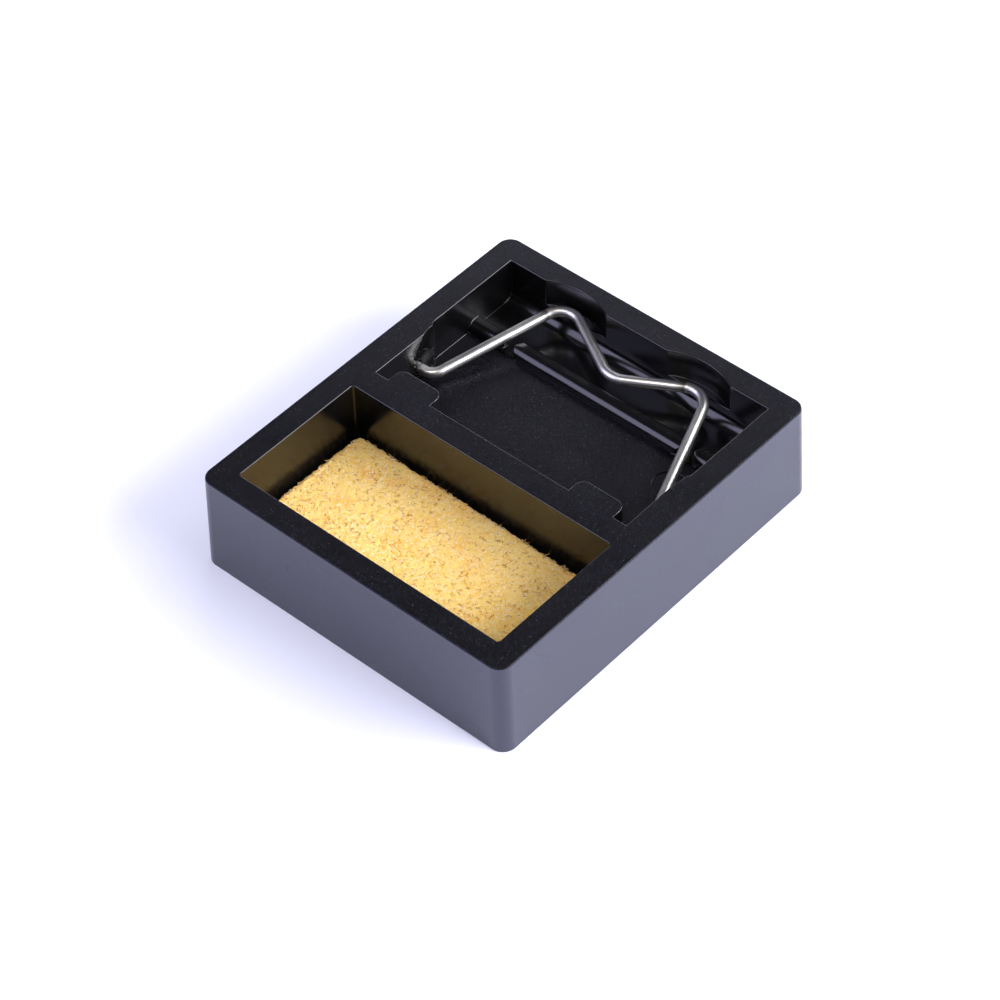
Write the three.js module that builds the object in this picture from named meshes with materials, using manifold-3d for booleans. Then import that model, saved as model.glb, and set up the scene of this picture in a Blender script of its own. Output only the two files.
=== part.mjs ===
// Bench stand for a soldering iron: a black moulded base with a sponge tray in front and a pocket behind,
// an M-shaped wire bracket that folds down into the pocket, and a loose cleaning sponge.
// Millimetres, +Z up. X runs along the sponge, +Y points to the rear, and the origin is the bottom centre.
import * as THREE from "three";
import { mergeVertices } from "three/addons/utils/BufferGeometryUtils.js";
import Module from "manifold-3d";

// ---- Driving dimensions -------------------------------------------------------------------------------

// Outer block, measured on its top face. The walls flare downwards by the mould's draft.
const topWidth = 76.6;
const topDepth = 88.9;
const baseHeight = 22.5;
const outerDraft = THREE.MathUtils.degToRad(1.43);
const cornerRadius = 3;
const topEdge = 0.4;
const rim = 5.5;

// Sponge tray.
const trayDepth = 31.5;
const trayFloor = 2.2;
const trayCorner = 0.6;
const innerDraft = THREE.MathUtils.degToRad(1);

// Divider between tray and pocket, with the two stops that the raised bracket leans on.
const dividerThickness = 5.5;
const stopWidth = 11;
const stopProjection = 4;
const stopCorner = 2;
const stopInboard = 1.65;

// Bracket pocket. Its side walls are thicker round the pivots and step back behind them.
const pocketDrop = 10.1;
const sideStep = 1;
const sideStepStart = 15.8;
const sideStepLength = 2.4;
const pocketHeel = 2.8;
const floorThickness = 2.4;

// Rib across the pocket floor, broken where the folded legs pass.
const ribFromDivider = 27.45;
const ribWidth = 3.5;
const ribHeight = 2.2;
const ribFrontRound = 2;
const ribRearRound = 0.4;
const ribGap = 2.7;

// Round marks of the ejector pins on the pocket floor.
const markRadius = 3.5;
const markSink = 0.15;
const markFromSide = 6.7;
const markFromDivider = 20.7;

// Wire bracket. Reach and spread are measured between the points where its straight runs would meet.
const wireDiameter = 2.2;
const wireSides = 12;
const wireStep = 0.8;
const pivotFromDivider = 12.4;
const pivotAboveFloor = 1.8;
const elbowFromWall = 3.05;
const elbowRadius = 2.8;
const peakSpread = 37.2;
const peakRadius = 5;
const valleyDrop = 10.1;
const valleyRadius = 6;
const foldedTilt = THREE.MathUtils.degToRad(6.57);
const pivotEngagement = 2.7;
const pivotClearance = 0.25;
const pivotEndClearance = 0.5;

// Scallops in the rear wall: each holds a ledge that a folded peak rests on.
const scallopWidth = 15.8;
const scallopDepth = 2.1;
const peakIntoScallop = 0.1;
const restClearance = 0.3;

// Lead-in grooves that ramp from the top edge down to the pivot holes. Run and rise are measured from the
// pivot to the groove's foot and head, and the groove gets shallower by the fade on its way up.
const leadInRadius = 6;
const leadInDepth = 1.25;
const leadInFootRun = 1.8;
const leadInFootRise = 2.2;
const leadInHeadRun = 5.1;
const leadInHeadRise = 9.8;
const leadInFade = 1.1;

// Sponge.
const spongeClearance = 0.5;
const spongeThickness = 8.5;
const spongeCorner = 1.6;
const spongeEdge = 0.8;
const restGap = 0.1;

// Facets: how finely each round shape is divided
const blockCornerSegments = 12;
const blockEdgeSegments = 4;
const recessCornerSegments = 4;
const pocketSegments = 6;
const pocketHeelSegments = 8;
const thumbCutSegments = 14;
const ribRoundSegments = 7;
const spongeEdgeSegments = 2;
const spongeCornerSegments = 4;
const pivotHoleSides = 20;
const leadInSides = 40;
const leadInRings = 24;
const markSides = 32;

// Rounds of fitting that place the bracket's peaks at their reach
const peakFittingRounds = 30;

// ---- Places worked out from them ----------------------------------------------------------------------

const halfWidth = topWidth / 2;
const frontY = -topDepth / 2;
const rearY = topDepth / 2;
const trayFrontY = frontY + rim;
const trayRearY = trayFrontY + trayDepth;
const pocketFrontY = trayRearY + dividerThickness;
const pocketRearY = rearY - rim;
const wideHalf = halfWidth - rim;
const pivotHalf = wideHalf - sideStep;
const floorZ = baseHeight - pocketDrop;
const pivotY = pocketFrontY + pivotFromDivider;
const pivotZ = floorZ + pivotAboveFloor;
const wireRadius = wireDiameter / 2;

const bracket = bracketLayout();
const ledgeZ = pivotZ + bracket.apexReach * Math.sin(foldedTilt) - wireRadius - restClearance;
const ribRearY = pocketFrontY + ribFromDivider + ribWidth;
const stopRearY = pocketFrontY + stopProjection;
const stopX = bracket.legXAt(Math.hypot(pivotY - stopRearY, baseHeight - pivotZ)) - stopInboard;
const ribGapX = bracket.legXAt((ribRearY - ribWidth / 2 - pivotY) / Math.cos(foldedTilt));

// The bracket's corner points in its own plane: u along X from the middle, v away from the pivot axis.
// Its reach puts the outside of the folded peaks a little way into the rear wall's scallops.
function bracketLayout() {
  const elbowU = pivotHalf - elbowFromWall;
  const peakU = peakSpread / 2;
  const apexReach = (pocketRearY + peakIntoScallop - wireRadius - pivotY) / Math.cos(foldedTilt);
  const arcCentre = (peakV) => {
    const peak = new THREE.Vector2(peakU, peakV);
    const toElbow = new THREE.Vector2(elbowU, 0).sub(peak).normalize();
    const toValley = new THREE.Vector2(0, peakV - valleyDrop).sub(peak).normalize();
    const halfAngle = Math.acos(toElbow.dot(toValley)) / 2;
    const bisector = toElbow.add(toValley).normalize();
    return peak.addScaledVector(bisector, peakRadius / Math.sin(halfAngle));
  };
  let peakV = apexReach;
  for (let i = 0; i < peakFittingRounds; i += 1) peakV += apexReach - (arcCentre(peakV).y + peakRadius);
  return {
    elbowU,
    peakU,
    peakV,
    valleyV: peakV - valleyDrop,
    apexU: arcCentre(peakV).x,
    apexReach,
    legXAt: (v) => elbowU + ((peakU - elbowU) * v) / peakV,
  };
}

// ---- Solids -------------------------------------------------------------------------------------------

const wasm = await Module();
wasm.setup();

function toSolid(geometry) {
  const bare = geometry.clone();
  bare.deleteAttribute("normal");
  bare.deleteAttribute("uv");
  const merged = mergeVertices(bare, 1e-4);
  const vertProperties = new Float32Array(merged.attributes.position.array);
  const triVerts = new Uint32Array(merged.index.array);
  return new wasm.Manifold(new wasm.Mesh({ numProp: 3, vertProperties, triVerts }));
}

function toGeometry(solid) {
  const { vertProperties, triVerts } = solid.getMesh();
  const geometry = new THREE.BufferGeometry();
  geometry.setAttribute("position", new THREE.BufferAttribute(vertProperties, 3));
  geometry.setIndex(new THREE.BufferAttribute(triVerts, 1));
  return geometry;
}

function boxSolid(x0, x1, y0, y1, z0, z1) {
  const geometry = new THREE.BoxGeometry(x1 - x0, y1 - y0, z1 - z0);
  geometry.translate((x0 + x1) / 2, (y0 + y1) / 2, (z0 + z1) / 2);
  return toSolid(geometry);
}

// A cylinder from one point to another, with a radius for each end.
function rodGeometry(from, to, fromRadius, toRadius, sides) {
  const along = to.clone().sub(from);
  const geometry = new THREE.CylinderGeometry(toRadius, fromRadius, along.length(), sides);
  const upright = new THREE.Vector3(0, 1, 0);
  geometry.applyQuaternion(new THREE.Quaternion().setFromUnitVectors(upright, along.clone().normalize()));
  geometry.translate(...from.clone().add(to).multiplyScalar(0.5).toArray());
  return geometry;
}

function mirrored(solid) {
  return solid.mirror([1, 0, 0]);
}

function bothSides(solid) {
  return solid.add(mirrored(solid));
}

function roundedRect(x0, x1, y0, y1, radius) {
  const shape = new THREE.Shape();
  shape.absarc(x1 - radius, y0 + radius, radius, -Math.PI / 2, 0, false);
  shape.absarc(x1 - radius, y1 - radius, radius, 0, Math.PI / 2, false);
  shape.absarc(x0 + radius, y1 - radius, radius, Math.PI / 2, Math.PI, false);
  shape.absarc(x0 + radius, y0 + radius, radius, Math.PI, 1.5 * Math.PI, false);
  return shape;
}

// An upright prism from z0 to z1.
function prism(shape, z0, z1, curveSegments) {
  const geometry = new THREE.ExtrudeGeometry(shape, { depth: z1 - z0, bevelEnabled: false, curveSegments });
  geometry.translate(0, 0, z0);
  return geometry;
}

// Draft: the outline keeps its size at height zRef and every side moves out by tan(draft) per mm below it.
function applyDraft(geometry, draft, zRef) {
  geometry.computeBoundingBox();
  const { min, max } = geometry.boundingBox;
  const middle = min.clone().add(max).multiplyScalar(0.5);
  const half = max.clone().sub(min).multiplyScalar(0.5);
  const position = geometry.attributes.position;
  for (let i = 0; i < position.count; i += 1) {
    const outwards = (zRef - position.getZ(i)) * Math.tan(draft);
    position.setX(i, middle.x + (position.getX(i) - middle.x) * (1 + outwards / half.x));
    position.setY(i, middle.y + (position.getY(i) - middle.y) * (1 + outwards / half.y));
  }
  return geometry;
}

// ---- Base ---------------------------------------------------------------------------------------------

function outerBlock() {
  const outline = roundedRect(-halfWidth, halfWidth, frontY, rearY, cornerRadius);
  const geometry = new THREE.ExtrudeGeometry(outline, {
    depth: baseHeight - topEdge,
    bevelThickness: topEdge,
    bevelSize: topEdge,
    bevelOffset: -topEdge,
    bevelSegments: blockEdgeSegments,
    curveSegments: blockCornerSegments,
  });
  const drafted = toSolid(applyDraft(geometry, outerDraft, baseHeight));
  return drafted.subtract(boxSolid(-topWidth, topWidth, -topDepth, topDepth, -1, 0));
}

function trayCavity() {
  const outline = roundedRect(-wideHalf, wideHalf, trayFrontY, trayRearY, trayCorner);
  const cavity = prism(outline, trayFloor, baseHeight + 1, recessCornerSegments);
  return toSolid(applyDraft(cavity, -innerDraft, baseHeight));
}

// The pocket's plan: square at the divider, thicker walls round the pivots, then a soft step outwards.
function pocketOutline() {
  const stepY = pocketFrontY + sideStepStart;
  const stepEndY = stepY + sideStepLength;
  const stepMiddleY = (stepY + stepEndY) / 2;
  const shape = new THREE.Shape();
  shape.moveTo(-pivotHalf, pocketFrontY);
  shape.lineTo(pivotHalf, pocketFrontY);
  shape.lineTo(pivotHalf, stepY);
  shape.bezierCurveTo(pivotHalf, stepMiddleY, wideHalf, stepMiddleY, wideHalf, stepEndY);
  shape.lineTo(wideHalf, pocketRearY);
  shape.lineTo(-wideHalf, pocketRearY);
  shape.lineTo(-wideHalf, stepEndY);
  shape.bezierCurveTo(-wideHalf, stepMiddleY, -pivotHalf, stepMiddleY, -pivotHalf, stepY);
  return shape;
}

function pocketCavity() {
  return toSolid(prism(pocketOutline(), floorZ, baseHeight + 1, pocketSegments));
}

// A rounded block that stands out of the divider, as high as the base.
function legStop() {
  const start = trayRearY + stopCorner;
  const outline = roundedRect(stopX - stopWidth / 2, stopX + stopWidth / 2, start, stopRearY, stopCorner);
  return toSolid(prism(outline, floorZ - 1, baseHeight, pocketSegments));
}

// A length of rib along X with round ends.
function ribPiece(x0, x1) {
  const outline = roundedRect(x0, x1, ribRearY - ribWidth, ribRearY, ribWidth / 2 - 0.01);
  const sweep = { depth: x1 - x0, bevelEnabled: false, curveSegments: ribRoundSegments };
  const crest = new THREE.ExtrudeGeometry(ribSection(), sweep);
  crest.rotateX(Math.PI / 2);
  crest.rotateZ(Math.PI / 2);
  crest.translate(x0, 0, 0);
  const run = toSolid(prism(outline, floorZ - 1, floorZ + ribHeight, pocketSegments));
  return run.intersect(toSolid(crest));
}

// The rib from the side: a soft front edge and a crisper rear one, running down into the floor.
function ribSection() {
  const ribFrontY = ribRearY - ribWidth;
  const topZ = floorZ + ribHeight;
  const shape = new THREE.Shape();
  shape.moveTo(ribFrontY, floorZ - 1);
  shape.lineTo(ribRearY, floorZ - 1);
  shape.absarc(ribRearY - ribRearRound, topZ - ribRearRound, ribRearRound, 0, Math.PI / 2, false);
  shape.absarc(ribFrontY + ribFrontRound, topZ - ribFrontRound, ribFrontRound, Math.PI / 2, Math.PI, false);
  return shape;
}

function rib() {
  const end = wideHalf + 1;
  const stub = ribPiece(ribGapX + ribGap / 2, end);
  return ribPiece(-ribGapX + ribGap / 2, ribGapX - ribGap / 2).add(bothSides(stub));
}

// Concave heel where the pocket floor meets the rear wall.
function heel() {
  const shape = new THREE.Shape();
  shape.moveTo(pocketRearY - pocketHeel, floorZ);
  shape.absarc(pocketRearY - pocketHeel, floorZ + pocketHeel, pocketHeel, -Math.PI / 2, 0, false);
  shape.lineTo(pocketRearY + 1, floorZ + pocketHeel);
  shape.lineTo(pocketRearY + 1, floorZ - 1);
  shape.lineTo(pocketRearY - pocketHeel, floorZ - 1);
  const length = 2 * wideHalf + 2;
  const sweep = { depth: length, bevelEnabled: false, curveSegments: pocketHeelSegments };
  const geometry = new THREE.ExtrudeGeometry(shape, sweep);
  geometry.rotateX(Math.PI / 2);
  geometry.rotateZ(Math.PI / 2);
  geometry.translate(-length / 2, 0, 0);
  return toSolid(geometry);
}

// A shallow segment of a circle cut into the rear wall, from its ledge up.
function scallop() {
  const half = scallopWidth / 2;
  const radius = (half * half + scallopDepth * scallopDepth) / (2 * scallopDepth);
  const centreY = pocketRearY + scallopDepth - radius;
  const sweep = Math.asin(half / radius);
  const shape = new THREE.Shape();
  shape.absarc(bracket.apexU, centreY, radius, Math.PI / 2 - sweep, Math.PI / 2 + sweep, false);
  shape.lineTo(bracket.apexU - half, pocketRearY - 1);
  shape.lineTo(bracket.apexU + half, pocketRearY - 1);
  return toSolid(prism(shape, ledgeZ, baseHeight + 1, thumbCutSegments));
}

function pivotHole() {
  const depth = pivotEngagement + pivotEndClearance;
  const from = new THREE.Vector3(pivotHalf - leadInDepth, pivotY, pivotZ);
  const to = new THREE.Vector3(pivotHalf + depth, pivotY, pivotZ);
  const radius = wireRadius + pivotClearance;
  return toSolid(rodGeometry(from, to, radius, radius, pivotHoleSides));
}

// Ramp in the wall that guides a springy bracket end down to its hole.
function leadIn() {
  const axisX = pivotHalf + leadInDepth - leadInRadius;
  const foot = new THREE.Vector3(axisX, pivotY + leadInFootRun, pivotZ + leadInFootRise);
  const head = new THREE.Vector3(axisX - leadInFade, pivotY + leadInHeadRun, pivotZ + leadInHeadRise);
  const ball = new THREE.SphereGeometry(leadInRadius, leadInSides, leadInRings);
  ball.translate(...foot.toArray());
  const slope = toSolid(rodGeometry(foot, head, leadInRadius, leadInRadius, leadInSides));
  const groove = slope.add(toSolid(ball));
  const stepEndY = pocketFrontY + sideStepStart + sideStepLength;
  const reach = boxSolid(axisX, pivotHalf + leadInDepth + 1, pocketFrontY, stepEndY, floorZ, baseHeight + 1);
  return groove.intersect(reach);
}

function ejectorMark() {
  const x = wideHalf - markFromSide - sideStep;
  const y = pocketFrontY + markFromDivider;
  const from = new THREE.Vector3(x, y, floorZ - markSink);
  const to = new THREE.Vector3(x, y, floorZ + 1);
  return toSolid(rodGeometry(from, to, markRadius, markRadius, markSides));
}

// Open recess under the pocket floor, so that the moulding has about the same thickness everywhere.
function underside() {
  const roofZ = floorZ - floorThickness;
  const outline = roundedRect(-wideHalf, wideHalf, pocketFrontY, pocketRearY, cornerRadius);
  return toSolid(applyDraft(prism(outline, -1, roofZ, recessCornerSegments), innerDraft, roofZ));
}

function baseSolid() {
  const raised = bothSides(legStop()).add(rib()).add(heel()).intersect(outerBlock());
  const sunk = bothSides(scallop().add(pivotHole()).add(leadIn()).add(ejectorMark()));
  const hollowed = outerBlock().subtract(trayCavity()).subtract(pocketCavity()).subtract(underside());
  return hollowed.add(raised).subtract(sunk);
}

// ---- Wire bracket -------------------------------------------------------------------------------------

// Straight runs between the corner points, joined by arcs of each corner's own radius.
function filletPath(corners) {
  const path = new THREE.CurvePath();
  let last = corners[0].point;
  for (let i = 1; i < corners.length - 1; i += 1) {
    const { point, radius } = corners[i];
    const back = corners[i - 1].point.clone().sub(point).normalize();
    const ahead = corners[i + 1].point.clone().sub(point).normalize();
    const halfAngle = Math.acos(back.dot(ahead)) / 2;
    const cut = radius / Math.tan(halfAngle);
    const start = point.clone().addScaledVector(back, cut);
    const end = point.clone().addScaledVector(ahead, cut);
    const centre = point.clone().addScaledVector(back.add(ahead).normalize(), radius / Math.sin(halfAngle));
    path.add(new THREE.LineCurve3(last, start));
    path.add(new ArcThrough(centre, start, end));
    last = end;
  }
  path.add(new THREE.LineCurve3(last, corners.at(-1).point));
  return path;
}

// The shorter arc about a centre, between two points at the same distance from it.
class ArcThrough extends THREE.Curve {
  constructor(centre, start, end) {
    super();
    this.centre = centre;
    this.fromStart = start.clone().sub(centre);
    this.axis = this.fromStart.clone().cross(end.clone().sub(centre)).normalize();
    this.angle = this.fromStart.angleTo(end.clone().sub(centre));
  }

  getPoint(t, target = new THREE.Vector3()) {
    return target.copy(this.fromStart).applyAxisAngle(this.axis, this.angle * t).add(this.centre);
  }
}

function bracketPath() {
  const { elbowU, peakU, peakV, valleyV } = bracket;
  const end = pivotHalf + pivotEngagement;
  const corner = (u, v, radius) => ({ point: new THREE.Vector3(u, v, 0), radius });
  return filletPath([
    corner(-end, 0, 0),
    corner(-elbowU, 0, elbowRadius),
    corner(-peakU, peakV, peakRadius),
    corner(0, valleyV, valleyRadius),
    corner(peakU, peakV, peakRadius),
    corner(elbowU, 0, elbowRadius),
    corner(end, 0, 0),
  ]);
}

function bracketGeometry() {
  const section = new THREE.Shape();
  for (let i = 0; i < wireSides; i += 1) {
    const angle = (2 * Math.PI * i) / wireSides;
    const corner = new THREE.Vector2(wireRadius * Math.cos(angle), wireRadius * Math.sin(angle));
    if (i === 0) section.moveTo(corner.x, corner.y);
    else section.lineTo(corner.x, corner.y);
  }
  const path = bracketPath();
  path.arcLengthDivisions = 2000;
  const sweep = { steps: Math.round(path.getLength() / wireStep), extrudePath: path, bevelEnabled: false };
  return toGeometry(toSolid(new THREE.ExtrudeGeometry(section, sweep)));
}

// ---- Sponge -------------------------------------------------------------------------------------------

function spongeGeometry() {
  const inset = (baseHeight - trayFloor) * Math.tan(innerDraft) + spongeClearance + spongeEdge;
  const outline = roundedRect(
    -wideHalf + inset,
    wideHalf - inset,
    trayFrontY + inset,
    trayRearY - inset,
    spongeCorner - spongeEdge,
  );
  const geometry = new THREE.ExtrudeGeometry(outline, {
    depth: spongeThickness - 2 * spongeEdge,
    bevelThickness: spongeEdge,
    bevelSize: spongeEdge,
    bevelSegments: spongeEdgeSegments,
    curveSegments: spongeCornerSegments,
  });
  geometry.translate(0, 0, trayFloor + restGap + spongeEdge);
  return toGeometry(toSolid(geometry));
}

// ---- Assembly -----------------------------------------------------------------------------------------

function piece(name, geometry, color, roughness, metalness) {
  const mesh = new THREE.Mesh(geometry, new THREE.MeshStandardMaterial({ color, roughness, metalness }));
  mesh.name = name;
  return mesh;
}

const base = piece("base", toGeometry(baseSolid()), 0x17171b, 0.5, 0);
const wireBracket = piece("wire_bracket", bracketGeometry(), 0xc9ccd0, 0.25, 1);
const sponge = piece("sponge", spongeGeometry(), 0xe3b95a, 0.95, 0);
wireBracket.position.set(0, pivotY, pivotZ);
wireBracket.rotation.x = foldedTilt;

const group = new THREE.Group();
group.add(base, wireBracket, sponge);

export default group;
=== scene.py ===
"""Studio scene for a small soldering iron stand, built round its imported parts.

The black moulded base, the folding wire bracket and the cleaning sponge are each rebuilt in finer detail
than their solids and ride on the same bodies. Metres, +Z up, the origin under the middle of the base.
"""

from __future__ import annotations

import logging
import math
import random
from dataclasses import dataclass, field
from enum import Enum
from typing import Any, Callable

import bmesh
import bpy
from mathutils import Matrix, Vector, noise


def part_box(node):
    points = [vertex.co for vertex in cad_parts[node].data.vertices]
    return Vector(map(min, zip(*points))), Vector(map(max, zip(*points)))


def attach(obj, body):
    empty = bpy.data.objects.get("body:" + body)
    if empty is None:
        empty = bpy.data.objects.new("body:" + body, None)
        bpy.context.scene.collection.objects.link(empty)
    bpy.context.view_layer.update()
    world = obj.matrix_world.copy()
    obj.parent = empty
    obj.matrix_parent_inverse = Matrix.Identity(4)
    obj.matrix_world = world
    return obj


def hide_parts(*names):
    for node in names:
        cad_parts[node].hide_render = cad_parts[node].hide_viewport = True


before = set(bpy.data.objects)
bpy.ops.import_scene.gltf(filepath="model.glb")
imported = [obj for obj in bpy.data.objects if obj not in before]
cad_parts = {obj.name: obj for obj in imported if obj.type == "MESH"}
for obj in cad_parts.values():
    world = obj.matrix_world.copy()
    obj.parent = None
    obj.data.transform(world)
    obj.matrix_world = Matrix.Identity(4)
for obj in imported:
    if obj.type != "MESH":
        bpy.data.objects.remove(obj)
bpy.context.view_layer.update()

MM = 0.001
log = logging.getLogger("stand")


# ---- Shared helpers ---------------------------------------------------------------------------------------


def linear(hex_colour: str) -> tuple[float, float, float, float]:
    """Turn an sRGB hex colour into the linear colour that shader sockets take.

    Args:
        hex_colour: Six hex digits after a hash sign.

    Returns:
        Linear red, green and blue, and an alpha of 1.
    """
    channels = [int(hex_colour[i : i + 2], 16) / 255 for i in (1, 3, 5)]
    red, green, blue = [c / 12.92 if c <= 0.04045 else ((c + 0.055) / 1.055) ** 2.4 for c in channels]
    return (red, green, blue, 1.0)


def per_metre(feature_mm: float) -> float:
    """Return the texture scale whose features are that many millimetres across."""
    return 1.0 / (feature_mm * MM)


def add_node(
    tree: bpy.types.NodeTree, kind: str, inputs: dict[Any, Any] | None = None, **settings: Any
) -> Any:
    """Add a node, set its properties, and set or link its inputs.

    Args:
        tree: The node tree that gets the node.
        kind: The node's type name.
        inputs: A value or another node's output socket for each input, by name or number.
        settings: The node's own properties.

    Returns:
        The new node.
    """
    node = tree.nodes.new(kind)
    for name, value in settings.items():
        setattr(node, name, value)
    for key, value in (inputs or {}).items():
        if isinstance(value, bpy.types.NodeSocket):
            tree.links.new(value, node.inputs[key])
        else:
            node.inputs[key].default_value = value
    return node


def ramp_stops(node: Any, *stops: tuple[float, tuple[float, float, float, float]]) -> Any:
    """Give a colour ramp these stops.

    Args:
        node: A colour ramp node with its two stops.
        stops: Position and colour of each stop, in order.

    Returns:
        The same node.
    """
    elements = node.color_ramp.elements
    while len(elements) < len(stops):
        elements.new(1.0)
    for element, (position, colour) in zip(elements, stops):
        element.position = position
        element.color = colour
    return node


def new_surface(name: str) -> tuple[bpy.types.Material, bpy.types.NodeTree, Any, Any]:
    """Start a material.

    Args:
        name: The material's name.

    Returns:
        The material, its node tree, its Principled shader and the Object coordinate socket.
    """
    material = bpy.data.materials.new(name)
    material.use_nodes = True
    tree = material.node_tree
    shader = tree.nodes["Principled BSDF"]
    place = add_node(tree, "ShaderNodeTexCoord").outputs["Object"]
    return material, tree, shader, place


def object_from(name: str, bm: bmesh.types.BMesh, materials: list[bpy.types.Material]) -> bpy.types.Object:
    """Turn a finished bmesh into a smooth-shaded object at the origin.

    Args:
        name: The object's name.
        bm: The mesh, which is freed.
        materials: Its material slots, in order.

    Returns:
        The new object.
    """
    mesh = bpy.data.meshes.new(name)
    bm.to_mesh(mesh)
    bm.free()
    mesh.shade_smooth()
    for material in materials:
        mesh.materials.append(material)
    made = bpy.data.objects.new(name, mesh)
    bpy.context.scene.collection.objects.link(made)
    return made


# ---- Finishes ---------------------------------------------------------------------------------------------


class MouldFinish(Enum):
    """How the steel behind each part of the moulding was finished."""

    GRAINED = "grained"
    SATIN = "satin"
    POLISHED = "polished"


@dataclass(frozen=True)
class PhenolicMoulding:
    """Black phenolic moulding compound, compression moulded: a dense carbon black with pale filler flecks.

    Spark-eroded steel leaves a fine matte grain, stoned steel a satin wall and polished steel a glossy one.
    """

    # A real grain of about 0.1 mm and flecks of about 0.2 mm are too fine to show: both are drawn coarser.
    body: str = "#070708"
    fleck: str = "#7c7c88"
    # The paler colour below is grain on the grained faces; on the satin walls it and the haze colour are
    # painted light, several times lighter than the black body to brighten the walls.
    pale_grain_and_wall_light: str = "#24242d"
    haze: str = "#20202b"
    sheen_tint: str = "#e9ebff"
    grain_mm: float = 0.4
    fleck_mm: float = 0.62
    peel_mm: float = 1.6
    patch_mm: float = 9.0
    cloud_mm: float = 14.0
    flow_mm: float = 5.0
    grained_fleck_reach: float = 0.16
    polished_fleck_reach: float = 0.09
    relief: float = 0.05 * MM

    def material(self, finish: MouldFinish) -> bpy.types.Material:
        """Make the material for one finish.

        Args:
            finish: The finish of the mould steel.

        Returns:
            The material.
        """
        makers: dict[MouldFinish, Callable[[], bpy.types.Material]] = {
            MouldFinish.GRAINED: self.grained,
            MouldFinish.SATIN: self.satin,
            MouldFinish.POLISHED: self.polished,
        }
        return makers[finish]()

    def flecks(self, tree: bpy.types.NodeTree, place: Any, reach: float) -> Any:
        """Add scattered filler flecks of differing strength.

        Args:
            tree: The material's node tree.
            place: The coordinate socket.
            reach: How far a fleck reaches, as a share of its cell.

        Returns:
            A socket that is 0 on plain moulding and up to 1 on a fleck.
        """
        cells = add_node(
            tree,
            "ShaderNodeTexVoronoi",
            {"Vector": place, "Scale": per_metre(self.fleck_mm), "Randomness": 1.0},
        )
        edge = add_node(
            tree,
            "ShaderNodeMapRange",
            {"Value": cells.outputs["Distance"], "From Max": reach, "To Min": 1.0, "To Max": 0.0},
            interpolation_type="SMOOTHSTEP",
        )
        strength = add_node(tree, "ShaderNodeSeparateColor", {"Color": cells.outputs["Color"]})
        rare = add_node(tree, "ShaderNodeMath", {0: strength.outputs["Red"], 1: 2.2}, operation="POWER")
        lit = add_node(
            tree, "ShaderNodeMath", {0: edge.outputs["Result"], 1: rare.outputs[0]}, operation="MULTIPLY"
        )
        return lit.outputs[0]

    def grained(self) -> bpy.types.Material:
        """Make the fine matte grain of the top faces and the pocket floor."""
        material, tree, shader, place = new_surface("phenolic_moulding_grained")
        fine = add_node(
            tree,
            "ShaderNodeTexNoise",
            {"Vector": place, "Scale": per_metre(self.grain_mm), "Detail": 2.0, "Roughness": 0.8},
        )
        broad = add_node(
            tree,
            "ShaderNodeTexNoise",
            {"Vector": place, "Scale": per_metre(self.patch_mm), "Detail": 1.0, "Roughness": 0.5},
        )
        mottle = ramp_stops(
            add_node(tree, "ShaderNodeValToRGB", {"Fac": fine.outputs["Fac"]}),
            (0.54, linear(self.body)),
            (0.66, linear(self.pale_grain_and_wall_light)),
        )
        speckled = add_node(
            tree,
            "ShaderNodeMix",
            {
                0: self.flecks(tree, place, self.grained_fleck_reach),
                6: mottle.outputs["Color"],
                7: linear(self.fleck),
            },
            data_type="RGBA",
        )
        haze = add_node(
            tree,
            "ShaderNodeMapRange",
            {"Value": broad.outputs["Fac"], "From Min": 0.3, "From Max": 0.7, "To Max": 0.07},
        )
        pits = add_node(
            tree,
            "ShaderNodeMapRange",
            {
                "Value": fine.outputs["Fac"],
                "From Min": 0.44,
                "From Max": 0.62,
                "To Min": 0.36,
                "To Max": 0.22,
            },
        )
        matte = add_node(
            tree,
            "ShaderNodeMath",
            {0: pits.outputs["Result"], 1: haze.outputs["Result"]},
            operation="ADD",
        )
        bump = add_node(
            tree,
            "ShaderNodeBump",
            {"Strength": 0.6, "Distance": self.relief, "Height": fine.outputs["Fac"]},
        )
        tree.links.new(speckled.outputs[2], shader.inputs["Base Color"])
        tree.links.new(matte.outputs["Value"], shader.inputs["Roughness"])
        tree.links.new(bump.outputs["Normal"], shader.inputs["Normal"])
        shader.inputs["IOR"].default_value = 1.5
        shader.inputs["Specular IOR Level"].default_value = 0.18
        shader.inputs["Specular Tint"].default_value = linear(self.sheen_tint)
        return material

    def satin(self) -> bpy.types.Material:
        """Make the soft sheen of the outer walls, faintly uneven as moulded walls are, with painted light in
        their colour, which is lighter than the black body.
        """
        material, tree, shader, place = new_surface("phenolic_moulding_satin")
        peel = add_node(
            tree,
            "ShaderNodeTexNoise",
            {"Vector": place, "Scale": per_metre(self.peel_mm), "Detail": 2.0, "Roughness": 0.5},
        )
        cloud = add_node(
            tree,
            "ShaderNodeTexNoise",
            {"Vector": place, "Scale": per_metre(self.cloud_mm), "Detail": 1.0, "Roughness": 0.5},
        )
        gloss = add_node(
            tree,
            "ShaderNodeMapRange",
            {
                "Value": cloud.outputs["Fac"],
                "From Min": 0.1,
                "From Max": 0.9,
                "To Min": 0.22,
                "To Max": 0.34,
            },
        )
        bump = add_node(
            tree,
            "ShaderNodeBump",
            {"Strength": 0.05, "Distance": self.relief, "Height": peel.outputs["Fac"]},
        )
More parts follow.
